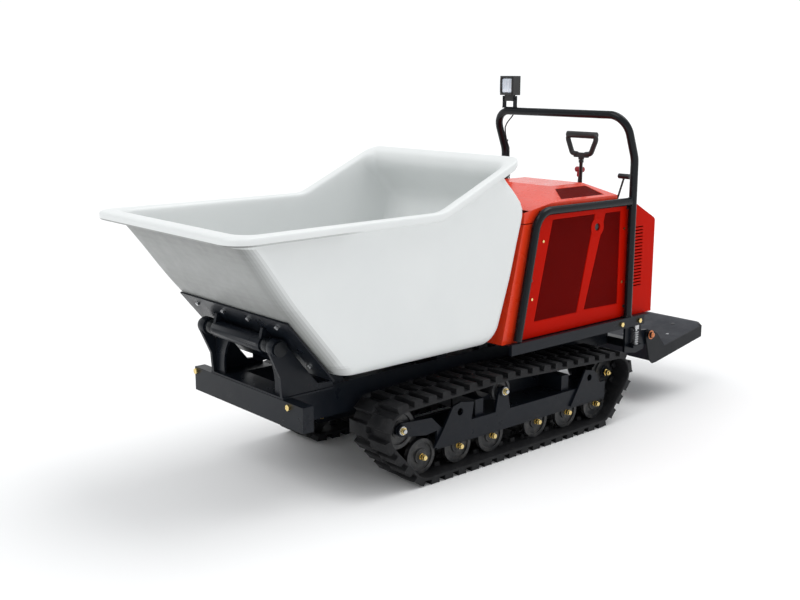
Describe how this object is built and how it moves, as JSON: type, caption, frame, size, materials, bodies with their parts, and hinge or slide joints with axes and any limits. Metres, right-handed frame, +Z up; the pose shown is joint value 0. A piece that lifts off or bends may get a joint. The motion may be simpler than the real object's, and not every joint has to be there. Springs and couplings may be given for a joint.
{
  "type": "power wheelbarrow",
  "caption": "Rubber-tracked power wheelbarrow with a forward-tipping plastic tub, engine hood, lever console, handrail hoop and folding operator step.",
  "frame": {"origin": "middle of the footprint, on the ground under the tracks", "axes": "+X towards the tub's front rim, +Y towards the side that carries the parking lever, +Z up"},
  "size_m": [3.03, 1.056, 1.642],
  "materials": {
    "frame_black": "semi-gloss black paint",
    "step_slate": "satin slate-black paint",
    "pin_steel": "bright steel",
    "bolt_zinc": "yellow zinc plating",
    "belt_rubber": "matt black rubber",
    "hood_orange": "glossy orange-red paint",
    "panel_red": "glossy red paint",
    "engine_grey": "cast, dull",
    "tank_black": "moulded",
    "muffler_steel": "heat-stained",
    "lead_black": "matt",
    "tub_white": "satin off-white polyethylene",
    "rod_chrome": "polished",
    "lever_black": "satin",
    "grip_black": "soft grip",
    "lever_red": "gloss",
    "lamp_black": "satin",
    "lens_glass": "clear, slightly blue",
    "wheel_black": "satin"
  },
  "bodies": {
    "chassis": {"main_rail_left": "frame_black", "main_rail_right": "frame_black", "cross_members": "frame_black", "hinge_uprights": "frame_black", "bumper_beam": "frame_black", "hinge_pin": "frame_black", "engine_deck": "frame_black", "track_frame_left": "frame_black", "track_frame_right": "frame_black", "track_belt_left": "belt_rubber", "track_belt_right": "belt_rubber", "wheel_axles": "bolt_zinc", "drive_motors": "frame_black", "handrail_hoop": "frame_black", "side_guards": "frame_black", "front_cowl": "hood_orange", "side_panel_left": "panel_red", "side_panel_right": "panel_red", "rear_console": "panel_red", "engine_block": "engine_grey", "fuel_tank": "tank_black", "hydraulic_tank": "tank_black", "hydraulic_pump": "engine_grey", "muffler": "muffler_steel", "lamp_bracket": "frame_black", "lamp_cable": "lead_black", "platform_mount": "frame_black", "platform_spring": "pin_steel", "frame_bolts": "bolt_zinc"},
    "tub": {"tub_shell": "tub_white", "tub_cradle": "frame_black", "tub_bolts": "pin_steel"},
    "dump_cylinder_barrel": {"cylinder_barrel": "frame_black"},
    "dump_cylinder_rod": {"cylinder_rod": "rod_chrome"},
    "hood": {"engine_hood": "hood_orange"},
    "step": {"platform_step": "step_slate"},
    "travel_lever_body": {"travel_lever": "lever_black"},
    "travel_handle_body": {"travel_handle": "grip_black"},
    "dump_lever_body": {"dump_lever": "lever_red"},
    "parking_lever_body": {"parking_lever": "lever_black"},
    "lamp": {"work_lamp": "lamp_black", "lamp_lens": "lens_glass"},
    "sprocket_left_body": {"sprocket_left": "wheel_black"},
    "sprocket_right_body": {"sprocket_right": "wheel_black"},
    "idler_left_body": {"idler_left": "wheel_black"},
    "idler_right_body": {"idler_right": "wheel_black"},
    "carrier_left_body": {"carrier_left": "wheel_black"},
    "carrier_right_body": {"carrier_right": "wheel_black"},
    "wheel_left_1_body": {"wheel_left_1": "wheel_black"},
    "wheel_left_2_body": {"wheel_left_2": "wheel_black"},
    "wheel_left_3_body": {"wheel_left_3": "wheel_black"},
    "wheel_left_4_body": {"wheel_left_4": "wheel_black"},
    "wheel_left_5_body": {"wheel_left_5": "wheel_black"},
    "wheel_left_6_body": {"wheel_left_6": "wheel_black"},
    "wheel_right_1_body": {"wheel_right_1": "wheel_black"},
    "wheel_right_2_body": {"wheel_right_2": "wheel_black"},
    "wheel_right_3_body": {"wheel_right_3": "wheel_black"},
    "wheel_right_4_body": {"wheel_right_4": "wheel_black"},
    "wheel_right_5_body": {"wheel_right_5": "wheel_black"},
    "wheel_right_6_body": {"wheel_right_6": "wheel_black"}
  },
  "joints": [
    {"name": "tub_tip", "type": "hinge", "parent": "chassis", "child": "tub", "pos_m": [1.162, 0, 0.64], "axis": [0, 1, 0], "range_deg": [0, 60]},
    {"name": "cylinder_swing", "type": "hinge", "parent": "chassis", "child": "dump_cylinder_barrel", "pos_m": [0.1, 0, 0.32], "axis": [0, -1, 0], "range_deg": [0, 30]},
    {"name": "rod_slide", "type": "slide", "parent": "dump_cylinder_barrel", "child": "dump_cylinder_rod", "axis": [0.9836, 0, 0.1803], "range_m": [0, 0.125]},
    {"name": "hood_lift", "type": "hinge", "parent": "chassis", "child": "hood", "pos_m": [-0.697, 0, 1.066], "axis": [0, -1, 0], "range_deg": [0, 55]},
    {"name": "step_fold", "type": "hinge", "parent": "chassis", "child": "step", "pos_m": [-0.991, 0, 0.372], "axis": [0, 1, 0], "range_deg": [0, 80]},
    {"name": "travel_tilt", "type": "hinge", "parent": "chassis", "child": "travel_lever_body", "pos_m": [-0.895, 0, 0.94], "axis": [0, 1, 0], "range_deg": [-18, 18]},
    {"name": "travel_twist", "type": "hinge", "parent": "travel_lever_body", "child": "travel_handle_body", "pos_m": [-0.895, 0, 1.225], "axis": [0, 0, 1], "range_deg": [-25, 25]},
    {"name": "dump_tilt", "type": "hinge", "parent": "chassis", "child": "dump_lever_body", "pos_m": [-0.929, -0.055, 0.93], "axis": [0, 1, 0], "range_deg": [-15, 15]},
    {"name": "parking_tilt", "type": "hinge", "parent": "chassis", "child": "parking_lever_body", "pos_m": [-0.894, 0.229, 0.945], "axis": [0, 1, 0], "range_deg": [0, 28]},
    {"name": "lamp_tilt", "type": "hinge", "parent": "chassis", "child": "lamp", "pos_m": [-0.7, -0.32, 1.528], "axis": [0, 1, 0], "range_deg": [-25, 25]},
    {"name": "sprocket_left_spin", "type": "hinge", "parent": "chassis", "child": "sprocket_left_body", "pos_m": [-0.648, 0.36, 0.24], "axis": [0, 1, 0], "continuous": true},
    {"name": "idler_left_spin", "type": "hinge", "parent": "chassis", "child": "idler_left_body", "pos_m": [0.697, 0.36, 0.256], "axis": [0, 1, 0], "continuous": true},
    {"name": "carrier_left_spin", "type": "hinge", "parent": "chassis", "child": "carrier_left_body", "pos_m": [0.106, 0.36, 0.304], "axis": [0, 1, 0], "continuous": true},
    {"name": "wheel_left_1_spin", "type": "hinge", "parent": "chassis", "child": "wheel_left_1_body", "pos_m": [0.576, 0.36, 0.112], "axis": [0, 1, 0], "continuous": true},
    {"name": "wheel_left_2_spin", "type": "hinge", "parent": "chassis", "child": "wheel_left_2_body", "pos_m": [0.366, 0.36, 0.112], "axis": [0, 1, 0], "continuous": true},
    {"name": "wheel_left_3_spin", "type": "hinge", "parent": "chassis", "child": "wheel_left_3_body", "pos_m": [0.165, 0.36, 0.112], "axis": [0, 1, 0], "continuous": true},
    {"name": "wheel_left_4_spin", "type": "hinge", "parent": "chassis", "child": "wheel_left_4_body", "pos_m": [-0.126, 0.36, 0.112], "axis": [0, 1, 0], "continuous": true},
    {"name": "wheel_left_5_spin", "type": "hinge", "parent": "chassis", "child": "wheel_left_5_body", "pos_m": [-0.335, 0.36, 0.112], "axis": [0, 1, 0], "continuous": true},
    {"name": "wheel_left_6_spin", "type": "hinge", "parent": "chassis", "child": "wheel_left_6_body", "pos_m": [-0.54, 0.36, 0.112], "axis": [0, 1, 0], "continuous": true},
    {"name": "sprocket_right_spin", "type": "hinge", "parent": "chassis", "child": "sprocket_right_body", "pos_m": [-0.648, -0.36, 0.24], "axis": [0, 1, 0], "continuous": true},
    {"name": "idler_right_spin", "type": "hinge", "parent": "chassis", "child": "idler_right_body", "pos_m": [0.697, -0.36, 0.256], "axis": [0, 1, 0], "continuous": true},
    {"name": "carrier_right_spin", "type": "hinge", "parent": "chassis", "child": "carrier_right_body", "pos_m": [0.106, -0.36, 0.304], "axis": [0, 1, 0], "continuous": true},
    {"name": "wheel_right_1_spin", "type": "hinge", "parent": "chassis", "child": "wheel_right_1_body", "pos_m": [0.576, -0.36, 0.112], "axis": [0, 1, 0], "continuous": true},
    {"name": "wheel_right_2_spin", "type": "hinge", "parent": "chassis", "child": "wheel_right_2_body", "pos_m": [0.366, -0.36, 0.112], "axis": [0, 1, 0], "continuous": true},
    {"name": "wheel_right_3_spin", "type": "hinge", "parent": "chassis", "child": "wheel_right_3_body", "pos_m": [0.165, -0.36, 0.112], "axis": [0, 1, 0], "continuous": true},
    {"name": "wheel_right_4_spin", "type": "hinge", "parent": "chassis", "child": "wheel_right_4_body", "pos_m": [-0.126, -0.36, 0.112], "axis": [0, 1, 0], "continuous": true},
    {"name": "wheel_right_5_spin", "type": "hinge", "parent": "chassis", "child": "wheel_right_5_body", "pos_m": [-0.335, -0.36, 0.112], "axis": [0, 1, 0], "continuous": true},
    {"name": "wheel_right_6_spin", "type": "hinge", "parent": "chassis", "child": "wheel_right_6_body", "pos_m": [-0.54, -0.36, 0.112], "axis": [0, 1, 0], "continuous": true}
  ],
  "couplings": [
    {"joint": "cylinder_swing", "follows": "tub_tip", "ratio": 0.4756},
    {"joint": "rod_slide", "follows": "tub_tip", "m_per_rad": 0.1175},
    {"joint": "idler_left_spin", "follows": "sprocket_left_spin", "ratio": 0.95238},
    {"joint": "carrier_left_spin", "follows": "sprocket_left_spin", "ratio": 1.4545},
    {"joint": "wheel_left_1_spin", "follows": "sprocket_left_spin", "ratio": 1.039},
    {"joint": "wheel_left_2_spin", "follows": "sprocket_left_spin", "ratio": 1.039},
    {"joint": "wheel_left_3_spin", "follows": "sprocket_left_spin", "ratio": 1.039},
    {"joint": "wheel_left_4_spin", "follows": "sprocket_left_spin", "ratio": 1.039},
    {"joint": "wheel_left_5_spin", "follows": "sprocket_left_spin", "ratio": 1.039},
    {"joint": "wheel_left_6_spin", "follows": "sprocket_left_spin", "ratio": 1.039},
    {"joint": "idler_right_spin", "follows": "sprocket_right_spin", "ratio": 0.95238},
    {"joint": "carrier_right_spin", "follows": "sprocket_right_spin", "ratio": 1.4545},
    {"joint": "wheel_right_1_spin", "follows": "sprocket_right_spin", "ratio": 1.039},
    {"joint": "wheel_right_2_spin", "follows": "sprocket_right_spin", "ratio": 1.039},
    {"joint": "wheel_right_3_spin", "follows": "sprocket_right_spin", "ratio": 1.039},
    {"joint": "wheel_right_4_spin", "follows": "sprocket_right_spin", "ratio": 1.039},
    {"joint": "wheel_right_5_spin", "follows": "sprocket_right_spin", "ratio": 1.039},
    {"joint": "wheel_right_6_spin", "follows": "sprocket_right_spin", "ratio": 1.039}
  ]
}
